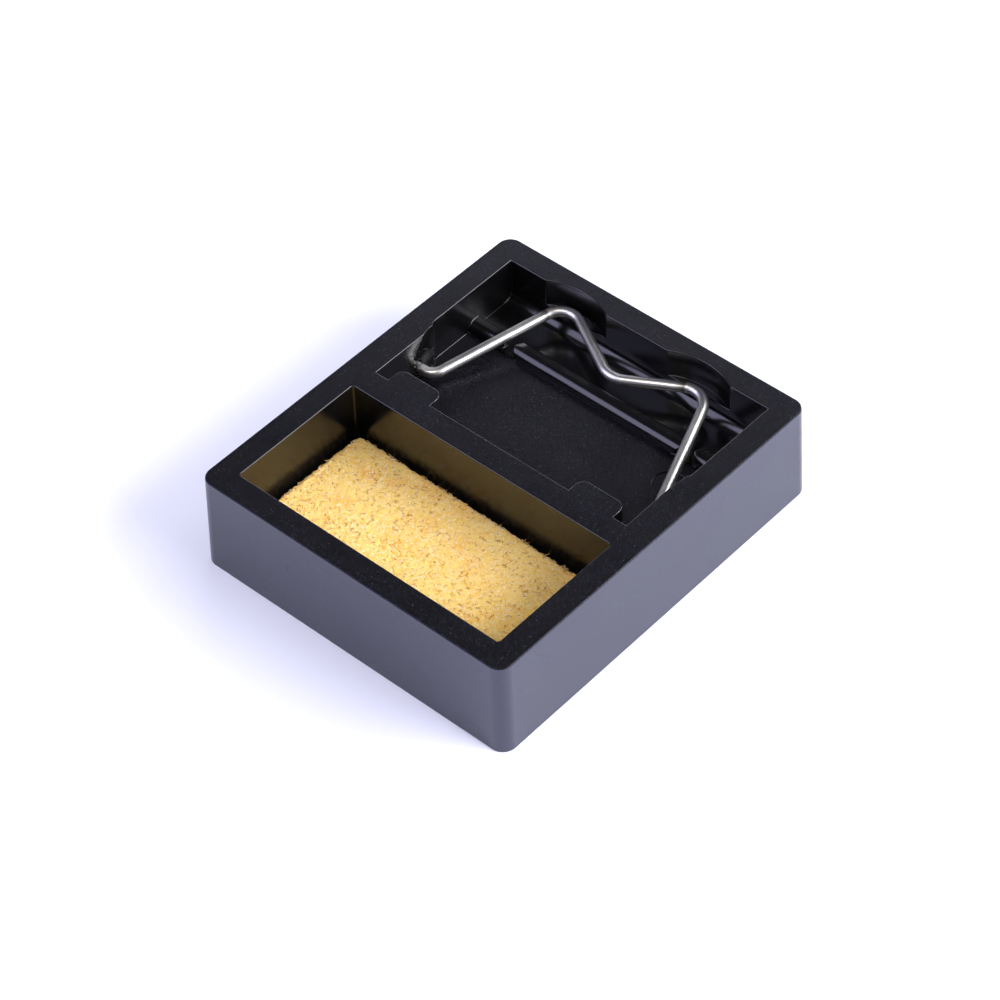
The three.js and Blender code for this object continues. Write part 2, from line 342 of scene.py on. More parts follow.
        # Painted light: the wall colour is several times lighter than the black body, to brighten the walls;
        # the cloud noise makes it faintly uneven.
        body = add_node(
            tree,
            "ShaderNodeMix",
            {0: cloud.outputs["Fac"], 6: linear(self.pale_grain_and_wall_light), 7: linear(self.haze)},
            data_type="RGBA",
        )
        tree.links.new(body.outputs[2], shader.inputs["Base Color"])
        tree.links.new(gloss.outputs["Result"], shader.inputs["Roughness"])
        tree.links.new(bump.outputs["Normal"], shader.inputs["Normal"])
        shader.inputs["IOR"].default_value = 1.7
        shader.inputs["Specular Tint"].default_value = linear(self.sheen_tint)
        return material

    def polished(self) -> bpy.types.Material:
        """Make the glossy walls, rib and trough, with rubbed dust and a few fine flow lines."""
        material, tree, shader, place = new_surface("phenolic_moulding_polished")
        flow = add_node(
            tree,
            "ShaderNodeTexNoise",
            {
                "Vector": place,
                "Scale": per_metre(self.flow_mm),
                "Detail": 5.0,
                "Roughness": 0.65,
                "Distortion": 0.6,
            },
        )
        gloss = add_node(
            tree,
            "ShaderNodeMapRange",
            {
                "Value": flow.outputs["Fac"],
                "From Min": 0.35,
                "From Max": 0.75,
                "To Min": 0.15,
                "To Max": 0.25,
            },
        )
        body = add_node(
            tree,
            "ShaderNodeMix",
            {
                0: self.flecks(tree, place, self.polished_fleck_reach),
                6: linear(self.body),
                7: linear(self.fleck),
            },
            data_type="RGBA",
        )
        bump = add_node(
            tree,
            "ShaderNodeBump",
            {"Strength": 0.1, "Distance": self.relief, "Height": flow.outputs["Fac"]},
        )
        tree.links.new(body.outputs[2], shader.inputs["Base Color"])
        tree.links.new(gloss.outputs["Result"], shader.inputs["Roughness"])
        tree.links.new(bump.outputs["Normal"], shader.inputs["Normal"])
        shader.inputs["IOR"].default_value = 1.55
        return material


@dataclass(frozen=True)
class NickelPlatedWire:
    """Drawn steel wire with bright nickel plate.

    Drawing leaves fine lines along it, and the bender's jaws leave dull nips where the bends were held.
    """

    # Real draw lines are a few hundredths of a millimetre wide, too fine to show: they are drawn wider.
    plate: str = "#c6c4c0"
    dull: str = "#77746f"
    line_mm: float = 0.22
    line_length_mm: float = 9.0
    spot_mm: float = 0.5
    relief: float = 0.03 * MM

    def material(self) -> bpy.types.Material:
        """Make the plated wire, whose lines follow the attributes that its mesh carries."""
        material, tree, shader, place = new_surface("nickel_plated_steel_wire")
        along = add_node(tree, "ShaderNodeAttribute", attribute_name="along").outputs["Fac"]
        around = add_node(tree, "ShaderNodeAttribute", attribute_name="around").outputs["Fac"]
        nip = add_node(tree, "ShaderNodeAttribute", attribute_name="nip").outputs["Fac"]
        lengthwise = add_node(
            tree, "ShaderNodeMath", {0: along, 1: per_metre(self.line_length_mm)}, operation="MULTIPLY"
        )
        crosswise = add_node(
            tree, "ShaderNodeMath", {0: around, 1: per_metre(self.line_mm)}, operation="MULTIPLY"
        )
        wrapped = add_node(
            tree, "ShaderNodeCombineXYZ", {"X": lengthwise.outputs[0], "Y": crosswise.outputs[0]}
        )
        lines = add_node(
            tree,
            "ShaderNodeTexNoise",
            {"Vector": wrapped.outputs[0], "Scale": 1.0, "Detail": 2.0, "Roughness": 0.6},
        )
        spots = add_node(
            tree,
            "ShaderNodeTexNoise",
            {"Vector": place, "Scale": per_metre(self.spot_mm), "Detail": 4.0, "Roughness": 0.7},
        )
        stain = add_node(
            tree,
            "ShaderNodeMapRange",
            {"Value": spots.outputs["Fac"], "From Min": 0.56, "From Max": 0.78, "To Max": 0.55},
        )
        worn = add_node(tree, "ShaderNodeMath", {0: stain.outputs["Result"], 1: nip}, operation="MAXIMUM")
        colour = add_node(
            tree,
            "ShaderNodeMix",
            {0: worn.outputs[0], 6: linear(self.plate), 7: linear(self.dull)},
            data_type="RGBA",
        )
        gloss = add_node(
            tree,
            "ShaderNodeMapRange",
            {"Value": lines.outputs["Fac"], "From Min": 0.3, "From Max": 0.7, "To Min": 0.3, "To Max": 0.42},
        )
        bump = add_node(
            tree,
            "ShaderNodeBump",
            {"Strength": 0.35, "Distance": self.relief, "Height": lines.outputs["Fac"]},
        )
        tree.links.new(colour.outputs[2], shader.inputs["Base Color"])
        tree.links.new(gloss.outputs["Result"], shader.inputs["Roughness"])
        tree.links.new(bump.outputs["Normal"], shader.inputs["Normal"])
        shader.inputs["Metallic"].default_value = 1.0
        return material


@dataclass(frozen=True)
class CelluloseSponge:
    """Dry cellulose sponge, cast round salt crystals that wash out and leave pores, then cut to size.

    Matted pale fibres lie over a deeper yellow body; a brownish painted shade darkens its pores, creases and
    deeper spots.
    """

    # Real strands are nearer 0.1 mm, too fine to show: they are drawn coarser.
    straw: str = "#f1c95f"
    gold: str = "#edb33d"
    cream: str = "#f4e2c2"
    # Painted shade: the brownish colour laid into pores, creases and the pad's deeper spots.
    pore: str = "#c78a35"
    strand_mm: float = 0.42
    pore_mm: float = 0.8
    crease_mm: float = 3.2
    break_mm: float = 2.1
    patch_mm: float = 4.5
    fibre_shade_mm: float = 0.6
    rough: float = 0.65
    relief: float = 0.2 * MM

    def body(self) -> bpy.types.Material:
        """Make the open sponge body: matted strands, with painted shade in pin-sized pores, short curled
        creases and the deeper spots of the pad.
        """
        material, tree, shader, place = new_surface("cellulose_sponge_body")
        strands = add_node(
            tree,
            "ShaderNodeTexNoise",
            {
                "Vector": place,
                "Scale": per_metre(self.strand_mm),
                "Detail": 3.0,
                "Roughness": self.rough,
                "Distortion": 1.4,
            },
        ).outputs["Fac"]
        pits = self.pits(tree, place)
        crease_shaded = add_node(
            tree,
            "ShaderNodeMix",
            {0: self.creases(tree, place), 6: self.matted(tree, place, strands), 7: linear(self.pore)},
            data_type="RGBA",
        )
        # Painted shade: the deeper a spot of the pad, the nearer its colour comes to the brownish shade.
        depth = add_node(tree, "ShaderNodeAttribute", attribute_name="depth").outputs["Fac"]
        sunk = add_node(
            tree, "ShaderNodeMapRange", {"Value": depth, "From Min": 0.35, "From Max": 0.95, "To Max": 0.9}
        )
        pore_shade = add_node(
            tree, "ShaderNodeMath", {0: pits, 1: sunk.outputs["Result"]}, operation="MAXIMUM"
        )
        colour = add_node(
            tree,
            "ShaderNodeMix",
            {0: pore_shade.outputs[0], 6: crease_shaded.outputs[2], 7: linear(self.pore)},
            data_type="RGBA",
        )
        raised = add_node(tree, "ShaderNodeMath", {0: strands, 1: pits}, operation="SUBTRACT").outputs[0]
        bump = add_node(
            tree, "ShaderNodeBump", {"Strength": 1.0, "Distance": self.relief, "Height": raised}
        )
        tree.links.new(colour.outputs[2], shader.inputs["Base Color"])
        tree.links.new(bump.outputs["Normal"], shader.inputs["Normal"])
        shader.inputs["Roughness"].default_value = 0.92
        shader.inputs["Specular IOR Level"].default_value = 0.3
        shader.inputs["Sheen Weight"].default_value = 0.15
        return material

    def matted(self, tree: bpy.types.NodeTree, place: Any, strands: Any) -> Any:
        """Add the yellow body with pale strands matted over it.

        Args:
            tree: The material's node tree.
            place: The coordinate socket.
            strands: A socket that rises along the strands.

        Returns:
            The colour socket.
        """
        patches = add_node(
            tree,
            "ShaderNodeTexNoise",
            {"Vector": place, "Scale": per_metre(self.patch_mm), "Detail": 3.0, "Roughness": self.rough},
        )
        broad = ramp_stops(
            add_node(tree, "ShaderNodeValToRGB", {"Fac": patches.outputs["Fac"]}),
            (0.32, linear(self.gold)),
            (0.5, linear(self.straw)),
        )
        pale = add_node(
            tree, "ShaderNodeMapRange", {"Value": strands, "From Min": 0.5, "From Max": 0.66, "To Max": 0.85}
        )
        return add_node(
            tree,
            "ShaderNodeMix",
            {0: pale.outputs["Result"], 6: broad.outputs["Color"], 7: linear(self.cream)},
            data_type="RGBA",
        ).outputs[2]

    def creases(self, tree: bpy.types.NodeTree, place: Any) -> Any:
        """Add painted shade in short curled creases: thin lines along the middle level of a noise, broken up
        by another.

        Args:
            tree: The material's node tree.
            place: The coordinate socket.

        Returns:
            A socket that is above 0 in a crease.
        """
        curls = add_node(
            tree,
            "ShaderNodeTexNoise",
            {
                "Vector": place,
                "Scale": per_metre(self.crease_mm),
                "Detail": 1.0,
                "Roughness": self.rough,
                "Distortion": 0.8,
            },
        )
        middle = add_node(tree, "ShaderNodeMath", {0: curls.outputs["Fac"], 1: 0.5}, operation="SUBTRACT")
        line = add_node(tree, "ShaderNodeMath", {0: middle.outputs[0]}, operation="ABSOLUTE")
        thin = add_node(
            tree,
            "ShaderNodeMapRange",
            {"Value": line.outputs[0], "From Min": 0.004, "From Max": 0.018, "To Min": 1.0, "To Max": 0.0},
        )
        where = add_node(
            tree,
            "ShaderNodeTexNoise",
            {"Vector": place, "Scale": per_metre(self.break_mm), "Detail": 1.0, "Roughness": self.rough},
        )
        broken = add_node(
            tree,
            "ShaderNodeMapRange",
            {"Value": where.outputs["Fac"], "From Min": 0.48, "From Max": 0.56, "To Max": 0.75},
        )
        return add_node(
            tree,
            "ShaderNodeMath",
            {0: thin.outputs["Result"], 1: broken.outputs["Result"]},
            operation="MULTIPLY",
        ).outputs[0]

    def pits(self, tree: bpy.types.NodeTree, place: Any) -> Any:
        """Add small open pores of uneven outline, sunk by the bump and darkened with painted shade.

        Args:
            tree: The material's node tree.
            place: The coordinate socket.

        Returns:
            A socket that is above 0 in a pore.
        """
        cells = add_node(
            tree,
            "ShaderNodeTexNoise",
            {
                "Vector": place,
                "Scale": per_metre(self.pore_mm),
                "Detail": 2.0,
                "Roughness": self.rough,
                "Distortion": 0.7,
            },
        )
        return add_node(
            tree,
            "ShaderNodeMapRange",
            {"Value": cells.outputs["Fac"], "From Min": 0.6, "From Max": 0.68, "To Max": 0.85},
        ).outputs["Result"]

    def fibres(self) -> bpy.types.Material:
        """Make the loose fibres, which run from cream to gold."""
        material, tree, shader, place = new_surface("cellulose_fibre")
        shades = add_node(
            tree,
            "ShaderNodeTexNoise",
            {"Vector": place, "Scale": per_metre(self.fibre_shade_mm), "Detail": 2.0, "Roughness": 0.6},
        )
        colour = ramp_stops(
            add_node(tree, "ShaderNodeValToRGB", {"Fac": shades.outputs["Fac"]}),
            (0.4, linear(self.gold)),
            (0.48, linear(self.straw)),
            (0.56, linear(self.cream)),
        )
        tree.links.new(colour.outputs["Color"], shader.inputs["Base Color"])
        shader.inputs["Roughness"].default_value = 0.85
        shader.inputs["Specular IOR Level"].default_value = 0.3
        return material


# ---- Base -------------------------------------------------------------------------------------------------


@dataclass
class BaseMoulding:
    """The base: its solid with every sharp edge eased, and each face given the finish of its mould steel."""

    node: str = "base"
    high: Vector = field(default_factory=lambda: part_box("base")[1])
    merge_distance: float = 0.002 * MM
    flat_within: float = math.radians(0.3)
    edge_radius: float = 0.2 * MM
    edge_segments: int = 3
    crease: float = math.radians(24)
    shading_weight: int = 80
    outer_margin: float = 2.0 * MM
    rim_inset: float = 3.0 * MM
    outer_round: float = 0.3 * MM
    floor_reach: float = 0.3 * MM
    rib_front: float = 25.5 * MM
    mark_place: tuple[float, float] = (25.1 * MM, 18.75 * MM)
    mark_radius: float = 3.5 * MM
    mark_edge: float = 0.05 * MM
    floor_height: float = 12.4 * MM
    upward: float = 0.95
    finish: PhenolicMoulding = field(default_factory=PhenolicMoulding)

    def build(self) -> bpy.types.Object:
        """Build the moulding, dress it and put it on its body.

        Returns:
            The finished object.
        """
        bm = bmesh.new()
        bm.from_mesh(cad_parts[self.node].data)
        bmesh.ops.remove_doubles(bm, verts=bm.verts, dist=self.merge_distance)
        bmesh.ops.dissolve_limit(
            bm, angle_limit=self.flat_within, verts=bm.verts, edges=bm.edges, delimit={"NORMAL"}
        )
        self.part_floor(bm)
        self.assign_finishes(bm)
        self.ease_edges(bm)
        finishes = [self.finish.material(kind) for kind in MouldFinish]
        made = object_from("base_moulding", bm, finishes)
        weighted = made.modifiers.new("even_shading", "WEIGHTED_NORMAL")
        weighted.weight = self.shading_weight
        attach(made, "base")
        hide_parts(self.node)
        return made

    def part_floor(self, bm: bmesh.types.BMesh) -> None:
        """Cut the pocket floor along the rib's front, where its grain ends.

        Args:
            bm: The base mesh.
        """
        floor = [f for f in bm.faces if self.is_floor(f)]
        edges = dict.fromkeys(e for f in floor for e in f.edges)
        bmesh.ops.bisect_plane(
            bm,
            geom=[*floor, *edges],
            plane_co=(0.0, self.rib_front, 0.0),
            plane_no=(0.0, 1.0, 0.0),
        )

    def is_floor(self, face: bmesh.types.BMFace) -> bool:
        """Tell whether a face is part of the flat pocket floor."""
        level = abs(face.calc_center_median().z - self.floor_height) < self.floor_reach
        return level and face.normal.z > self.upward

    def assign_finishes(self, bm: bmesh.types.BMesh) -> None:
        """Give each face its slot by where it lies and which way it looks.

        Args:
            bm: The base mesh.
        """
        order = list(MouldFinish)
        for face in bm.faces:
            middle = face.calc_center_median()
            on_top = middle.z > self.high.z - self.floor_reach and face.normal.z > self.upward
            top_round = middle.z > self.high.z - self.outer_round
            matte_floor = self.is_floor(face) and middle.y < self.rib_front
            side = self.from_side(middle) < self.outer_margin
            if on_top or matte_floor or (side and top_round):
                finish = MouldFinish.GRAINED
            elif side or middle.z < self.floor_reach:
                finish = MouldFinish.SATIN
            else:
                finish = MouldFinish.POLISHED
            face.material_index = order.index(finish)

    def ease_edges(self, bm: bmesh.types.BMesh) -> None:
        """Round every sharp edge a little, but for the outer top edge, which is round already.

        The marks in the floor are shallower than the edge radius, so their edges get a finer round.

        Args:
            bm: The base mesh.
        """
        sharp = [e for e in bm.edges if len(e.link_faces) == 2 and e.calc_face_angle(0.0) > self.crease]
        marks = [e for e in sharp if self.on_mark(e)]
        others = [e for e in sharp if not self.on_mark(e) and not self.outer_top(e)]
        polished = list(MouldFinish).index(MouldFinish.POLISHED)
        for edges, radius in ((others, self.edge_radius), (marks, self.mark_edge)):
            eased = bmesh.ops.bevel(
                bm,
                geom=[e for e in edges if e.is_valid],
                offset=radius,
                offset_type="OFFSET",
                affect="EDGES",
                segments=self.edge_segments,
                profile=0.5,
                material=-1,
                clamp_overlap=False,
                loop_slide=True,
            )
            for face in eased["faces"]:
                if self.is_inner_rim(face) or edges is marks:
                    face.material_index = polished

    def from_side(self, place: Vector) -> float:
        """Return how far a point is from the nearest outer side, measured at the foot."""
        return min(self.high.x - abs(place.x), self.high.y - abs(place.y))

    def near_top(self, place: Vector) -> bool:
        """Tell whether a point lies close under the top."""
        return place.z > self.high.z - self.outer_margin

    def outer_top(self, edge: bmesh.types.BMEdge) -> bool:
        """Tell whether an edge belongs to the outer top edge."""
        middle = (edge.verts[0].co + edge.verts[1].co) / 2
        return self.from_side(middle) < self.rim_inset and self.near_top(middle)

    def on_mark(self, edge: bmesh.types.BMEdge) -> bool:
        """Tell whether an edge runs round one of the shallow ejector marks in the pocket floor."""
        middle = (edge.verts[0].co + edge.verts[1].co) / 2
        away = math.hypot(abs(middle.x) - self.mark_place[0], middle.y - self.mark_place[1])
        level = abs(middle.z - self.floor_height) < self.floor_reach
        return level and abs(away - self.mark_radius) < self.floor_reach

    def is_inner_rim(self, face: bmesh.types.BMFace) -> bool:
        """Tell whether an eased face lies on the rim of the tray or the pocket."""
        middle = face.calc_center_median()
        return self.from_side(middle) > self.rim_inset and self.near_top(middle)


# ---- Wire bracket -----------------------------------------------------------------------------------------


@dataclass(frozen=True)
class Bend:
    """A corner of the bent wire: where its straight runs would meet, and the radius round it.

    The bender's jaws held the wire hard at some of them.
    """

    u: float
    v: float
    radius: float
    nipped: bool = False


@dataclass
class WireBracket:
    """The M-shaped bracket, fed and bent as on a wire bender, then laid at its folded angle.

    Like any wire bent by hand its two peaks differ a little.
    """

    node: str = "wire_bracket"
    wire_radius: float = 1.1 * MM
    sides: int = 28
    end: float = 34.4 * MM
    pivot: Vector = field(default_factory=lambda: Vector((0.0, 10.45, 14.2)) * MM)
    folded: float = math.radians(6.57)
    bends: tuple[Bend, ...] = (
        Bend(-28.75 * MM, 0.0, 2.8 * MM),
        Bend(-19.1 * MM, 30.8 * MM, 4.6 * MM, nipped=True),
        Bend(0.15 * MM, 20.0 * MM, 6.0 * MM),
        Bend(18.3 * MM, 29.5 * MM, 4.6 * MM, nipped=True),
        Bend(28.75 * MM, 0.0, 2.8 * MM),
    )
    arc_step: float = math.radians(6)
    feed_step: float = 2.0 * MM
    nip_length: float = 0.3 * MM
    finish: NickelPlatedWire = field(default_factory=NickelPlatedWire)

    def build(self) -> bpy.types.Object:
        """Build the bracket, dress it and put it on its body.

        Returns:
            The finished object.
        """
        bm = bmesh.new()
        self.along = bm.verts.layers.float.new("along")
        self.around = bm.verts.layers.float.new("around")
        self.nip = bm.verts.layers.float.new("nip")
        ring = self.first_ring(bm)
        bmesh.ops.contextual_create(bm, geom=self.rim_of(ring))
        fed = 0.0
        foot, tip = Vector((-self.end, 0.0, 0.0)), Vector((self.end, 0.0, 0.0))
        corners = [foot, *(Vector((b.u, b.v, 0.0)) for b in self.bends), tip]
        reached = foot
        for bend, before, corner, after in zip(self.bends, corners, corners[1:], corners[2:]):
            way_in = (corner - before).normalized()
            way_out = (after - corner).normalized()
            turn = way_in.cross(way_out).z
            angle = way_in.angle(way_out)
            cut = bend.radius * math.tan(angle / 2)
            start = corner - way_in * cut
            ring, fed = self.feed(bm, ring, start - reached, fed)
            held = fed
            centre = start + Vector((-way_in.y, way_in.x, 0.0)) * math.copysign(bend.radius, turn)
            ring, fed = self.bend(bm, ring, centre, math.copysign(angle, turn), bend.radius, fed)
            if bend.nipped:
                self.mark_nip(bm, held)
            reached = corner + way_out * cut
        ring, fed = self.feed(bm, ring, tip - reached, fed)
        bmesh.ops.contextual_create(bm, geom=self.rim_of(ring))
        bmesh.ops.recalc_face_normals(bm, faces=bm.faces)
        seat = Matrix.Translation(self.pivot) @ Matrix.Rotation(self.folded, 4, "X")
        bmesh.ops.transform(bm, matrix=seat, verts=bm.verts)
        made = object_from("bracket_wire", bm, [self.finish.material()])
        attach(made, "bracket")
        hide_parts(self.node)
        return made

    def first_ring(self, bm: bmesh.types.BMesh) -> list[bmesh.types.BMVert]:
        """Make the wire's section at its left end, looking along +X.

        Args:
            bm: The bracket mesh.

        Returns:
            The ring's vertices.
        """
        place = Matrix.Translation((-self.end, 0.0, 0.0)) @ Matrix.Rotation(math.pi / 2, 4, "Y")
        made = bmesh.ops.create_circle(bm, segments=self.sides, radius=self.wire_radius, matrix=place)
        for i, vert in enumerate(made["verts"]):
            vert[self.around] = self.wire_radius * 2 * math.pi * abs(i / self.sides - 0.5)
        return made["verts"]

    def rim_of(self, ring: list[bmesh.types.BMVert]) -> list[bmesh.types.BMEdge]:
        """Return the edges that join the vertices of a ring."""
        members = set(ring)
        edges = (e for v in ring for e in v.link_edges if e.other_vert(v) in members)
        return list(dict.fromkeys(edges))

    def feed(
        self, bm: bmesh.types.BMesh, ring: list[bmesh.types.BMVert], run: Vector, fed: float
    ) -> tuple[list[bmesh.types.BMVert], float]:
        """Push the wire straight on.

        Args:
            bm: The bracket mesh.
            ring: The wire's last ring.
            run: The way and length of the run.
            fed: The length of wire so far.

        Returns:
            The new last ring and the length of wire with it.
        """
        steps = max(1, round(run.length / self.feed_step))
        for _ in range(steps):
            made = bmesh.ops.extrude_edge_only(bm, edges=self.rim_of(ring))
            ring = [g for g in made["geom"] if isinstance(g, bmesh.types.BMVert)]
            bmesh.ops.translate(bm, verts=ring, vec=run / steps)
            fed += run.length / steps
            for vert in ring:
                vert[self.along] = fed
        return ring, fed

    def bend(
        self,
        bm: bmesh.types.BMesh,
        ring: list[bmesh.types.BMVert],
        centre: Vector,
        angle: float,
        radius: float,
        fed: float,
    ) -> tuple[list[bmesh.types.BMVert], float]:
        """Bend the wire round a pin.

        Args:
            bm: The bracket mesh.
            ring: The wire's last ring.
            centre: The pin's middle.
            angle: How far the wire turns, to the left if positive.
            radius: The bend's radius at the wire's middle.
            fed: The length of wire so far.

        Returns:
            The new last ring and the length of wire with it.
        """
        steps = max(2, round(abs(angle) / self.arc_step))
        turn = Matrix.Rotation(angle / steps, 3, "Z")
        for _ in range(steps):
            made = bmesh.ops.extrude_edge_only(bm, edges=self.rim_of(ring))
            ring = [g for g in made["geom"] if isinstance(g, bmesh.types.BMVert)]
            bmesh.ops.rotate(bm, verts=ring, cent=centre, matrix=turn)
            fed += radius * abs(angle) / steps
            for vert in ring:
                vert[self.along] = fed
        return ring, fed

    def mark_nip(self, bm: bmesh.types.BMesh, place: float) -> None:
        """Dull the wire where a bend was held.

        Args:
            bm: The bracket mesh.
            place: The length of wire up to the mark.
        """
        for vert in bm.verts:
            away = abs(vert[self.along] - place)
            vert[self.nip] = max(vert[self.nip], 1.0 - min(1.0, away / self.nip_length))


# ---- Sponge -----------------------------------------------------------------------------------------------


@dataclass
class CleaningSponge:
    """The loose sponge: a pad with soft, uneven edges, open pores and fibres that stray from its face.

    Depths named in mm, and features per mm, shape the relief of its faces.
    """

    node: str = "sponge"
    cell: float = 0.29 * MM
    edge_radius: float = 1.1 * MM
    turned: float = math.radians(-0.7)
    shift: Vector = field(default_factory=lambda: Vector((0.3, -0.15, 0.0)) * MM)
    inset: float = 0.35 * MM
    pore_depth: float = 0.4 * MM
    swell_mm: float = 0.16
    lump_mm: float = 0.05
    weave_mm: float = 0.12
    edge_mm: float = 0.3
    swells_per_mm: float = 0.16
    lumps_per_mm: float = 0.6
    weaves_per_mm: float = 1.5
    pores_per_mm: float = 0.85
    fibre_count: int = 6000
    fibre_radius: float = 0.06 * MM
    fibre_points: int = 7
    fibre_step: tuple[float, float] = (0.12, 0.3)
    fibre_lift: tuple[float, float] = (-0.12, 0.16)
    fibre_curl: float = 0.55
    fibre_wander: float = 0.25
    fibre_wave: float = 0.1 * MM
    bedded: float = 0.22 * MM
    spill_from: float = 0.6 * MM
    deepest_drop: float = 1.2 * MM
    seed: int = 11
    finish: CelluloseSponge = field(default_factory=CelluloseSponge)

    def build(self) -> list[bpy.types.Object]:
        """Build the pad and its fibres, dress them and put them on their body.

        Returns:
            The pad and the fibres.
        """
        low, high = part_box(self.node)
        pad = self.pad(low, high)
        fibres = self.fibres(low, high)
        for made in (pad, fibres):
            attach(made, "sponge")
        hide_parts(self.node)
        return [pad, fibres]

    def pad(self, low: Vector, high: Vector) -> bpy.types.Object:
        """Make the pad.

        Args:
            low: The lowest corner of the sponge's solid.
            high: Its highest corner.

        Returns:
            The pad's object.
        """
        bm = bmesh.new()
        size = high - low - Vector((2 * self.inset, 2 * self.inset, 0.0))
        bmesh.ops.create_cube(bm, size=1.0)
        for axis in range(3):
            along = [e for e in bm.edges if self.runs_along(e, axis)]
            cuts = round(size[axis] / self.cell) - 1
            bmesh.ops.subdivide_edges(bm, edges=along, cuts=cuts, use_grid_fill=True)
        bmesh.ops.scale(bm, vec=size, verts=bm.verts)
        # The depth layer carries the painted shade for the pores and hollows of the pad.
        depth = bm.verts.layers.float.new("depth")
        half = size / 2
        noise.seed_set(self.seed)
        for vert in bm.verts:
            vert.co = self.rounded(vert.co, half)
        bm.normal_update()
        moves = []
        for vert in bm.verts:
            sink, shade = self.relief(vert.co, vert.normal, half)
            vert[depth] = shade
            moves.append(vert.co - vert.normal * sink)
        for vert, place in zip(bm.verts, moves):
            place.z = max(place.z, -half.z)
            vert.co = place
        bmesh.ops.transform(bm, matrix=self.seat(low, high), verts=bm.verts)
        return object_from("sponge_pad", bm, [self.finish.body()])

    def seat(self, low: Vector, high: Vector) -> Matrix:
        """Return the move from the sponge's own middle to where it lies in the tray, a little askew."""
        return Matrix.Translation((low + high) / 2 + self.shift) @ Matrix.Rotation(self.turned, 4, "Z")

    @staticmethod
    def runs_along(edge: bmesh.types.BMEdge, axis: int) -> bool:
        """Tell whether an edge of the block runs along an axis."""
        way = edge.verts[1].co - edge.verts[0].co
        return abs(way[axis]) > 0.5 * way.length

    def rounded(self, place: Vector, half: Vector) -> Vector:
        """Pull a point of the block on to the rounded block.

        Args:
            place: A point on the block's surface, from its middle.
            half: Half the block's size.

        Returns:
            The point on the rounded block.
        """
        radius = self.edge_radius
        core = Vector([max(-h + radius, min(h - radius, p)) for p, h in zip(place, half)])
        away = place - core
        return core + away.normalized() * radius if away.length > 0 else place

    def relief(self, place: Vector, normal: Vector, half: Vector) -> tuple[float, float]:
        """Work out how far the surface sinks at a point.

        Args:
            place: The point on the rounded block.
            normal: Which way the surface looks there.
            half: Half the block's size.

        Returns:
            The depth in metres, and the shade from 0, on the surface, to 1, deep in a pore.
        """
        spot = place / MM
        swell = noise.noise(spot * self.swells_per_mm + Vector((3.1, 7.7, 1.3)))
        lumps = noise.noise(spot * self.lumps_per_mm)
        weave = noise.turbulence(
            spot * self.weaves_per_mm, 3, False, noise_basis="PERLIN_ORIGINAL", amplitude_scale=0.6
        )
        near, _ = noise.voronoi(spot * self.pores_per_mm + 0.4 * noise.noise_vector(spot * 1.9))
        openness = noise.noise(spot * 0.7 + Vector((5.2, 1.1, 8.4)))
        pore = max(0.0, 1.0 - near[0] / max(0.05, 0.2 + 0.3 * openness))
        edge = 1.0 - abs(normal.z)
        sink = self.swell_mm * swell + self.lump_mm * lumps + self.weave_mm * weave
        sink += self.edge_mm * edge * noise.noise(spot * 0.8)
        shade = min(1.0, 0.4 * weave + 1.1 * pore)
        return sink * MM + self.pore_depth * pore**0.7, max(0.0, shade)

    def fibres(self, low: Vector, high: Vector) -> bpy.types.Object:
        """Lay short curled fibres over the top and let a few stray past the edges.

        Args:
            low: The lowest corner of the sponge's solid.
            high: Its highest corner.

        Returns:
            The fibres' object.
        """
        draw = random.Random(self.seed)
        strands = bpy.data.curves.new("sponge_fibres", "CURVE")
        strands.dimensions = "3D"
        strands.bevel_depth = self.fibre_radius
        strands.bevel_resolution = 0
        half = (high - low) / 2 - Vector((self.inset, self.inset, 0.0))
        for _ in range(self.fibre_count):
            self.strand(strands, draw, half)
        drawn = bpy.data.objects.new("drawn_fibres", strands)
        mesh = bpy.data.meshes.new_from_object(drawn)
        bm = bmesh.new()
        bm.from_mesh(mesh)
        bmesh.ops.transform(bm, matrix=self.seat(low, high), verts=bm.verts)
        bpy.data.objects.remove(drawn)
        bpy.data.meshes.remove(mesh)
        return object_from("sponge_fibres", bm, [self.finish.fibres()])

    def strand(self, strands: bpy.types.Curve, draw: random.Random, half: Vector) -> None:
        """Add one curled fibre that lies on the pad.

        Args:
            strands: The curve that holds the fibres.
            draw: The source of chance.
            half: Half the pad's size.
        """
        x = draw.uniform(-half.x, half.x)
        y = draw.uniform(-half.y, half.y)
        heading = draw.uniform(0.0, 2 * math.pi)
        curl = draw.gauss(0.0, self.fibre_curl)
        step = draw.uniform(*self.fibre_step) * MM
        lift = draw.uniform(*self.fibre_lift) * MM
        points = []
        for i in range(self.fibre_points):
            heading += curl + draw.gauss(0.0, self.fibre_wander)
            x += step * math.cos(heading)
            y += step * math.sin(heading)
            spill = max(abs(x) - half.x + self.spill_from, abs(y) - half.y + self.spill_from, 0.0)
            drop = min(spill * spill / self.edge_radius, self.deepest_drop)
            rise = lift + self.fibre_wave * math.sin(i * 0.9 + heading)
            points.append((x, y, half.z - drop + rise - self.bedded))
        spline = strands.splines.new("POLY")
        spline.points.add(len(points) - 1)
        for point, place in zip(spline.points, points):
            point.co = (*place, 1.0)


# ---- Studio -----------------------------------------------------------------------------------------------


